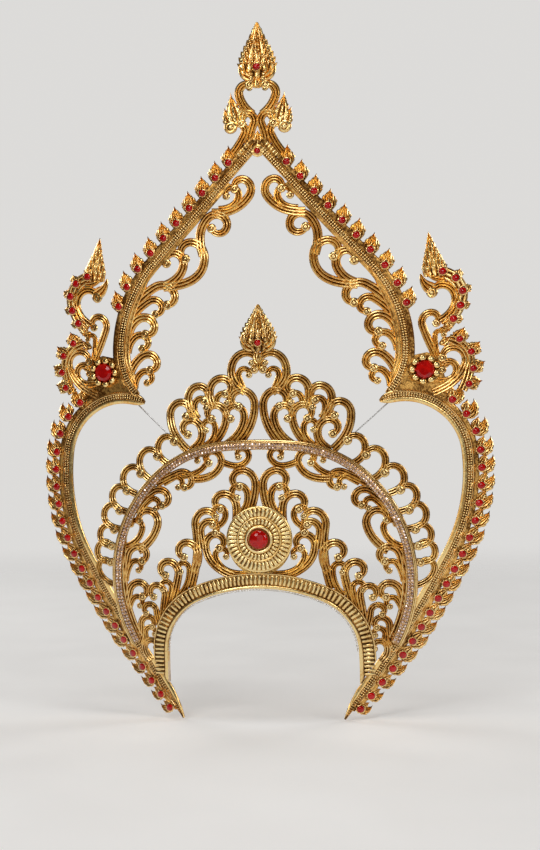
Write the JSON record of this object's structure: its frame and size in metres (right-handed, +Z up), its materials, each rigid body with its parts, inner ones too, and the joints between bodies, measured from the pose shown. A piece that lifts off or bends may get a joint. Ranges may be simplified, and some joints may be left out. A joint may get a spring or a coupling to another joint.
{
  "type": "thai headdress",
  "caption": "Tall gilt openwork headdress: a scrolled tiara with a rosette on an arched head band, inside a pointed surround edged with flame leaves and red stones.",
  "frame": {"origin": "middle of the head opening, in the plane of the tiara's front and level with the lower ends of the head band", "axes": "+Z up towards the top finial, -Y to the front, +X towards the right-hand side as seen from the front"},
  "size_m": [0.4188, 0.0823, 0.6345],
  "materials": {
    "gilt": "bright gilt on the ridges, brown toning in the grooves",
    "red_stone": "polished cut glass on dark foil",
    "cup_chain": "small clear stones in silvered cups",
    "silver_beads": "bright silvered beads",
    "stay_wire": "drawn steel wire"
  },
  "bodies": {
    "root": {"side_rail_right": "gilt", "side_rail_left": "gilt", "gable_rail_right": "gilt", "gable_rail_left": "gilt", "gable_leaves_right": "gilt", "gable_leaves_left": "gilt", "side_leaves_right": "gilt", "side_leaves_left": "gilt", "gable_scrolls_right": "gilt", "gable_scrolls_left": "gilt", "shoulder_scroll_right": "gilt", "shoulder_scroll_left": "gilt", "shoulder_stone_right": "red_stone", "shoulder_stone_left": "red_stone", "top_finial": "gilt", "top_finial_stone": "red_stone", "apex_stone": "red_stone", "tiara_arch": "gilt", "rhinestone_chain": "cup_chain", "crest_scrolls_right": "gilt", "crest_scrolls_left": "gilt", "arch_loops_right": "gilt", "arch_loops_left": "gilt", "inner_scrolls_right": "gilt", "inner_scrolls_left": "gilt", "crest_leaf": "gilt", "crest_leaf_stone": "red_stone", "head_band": "gilt", "band_bead_trim": "silver_beads", "brow_scrolls_right": "gilt", "brow_scrolls_left": "gilt", "rosette": "gilt", "rosette_stone": "red_stone", "stay_right": "stay_wire", "stay_left": "stay_wire"}
  },
  "joints": []
}
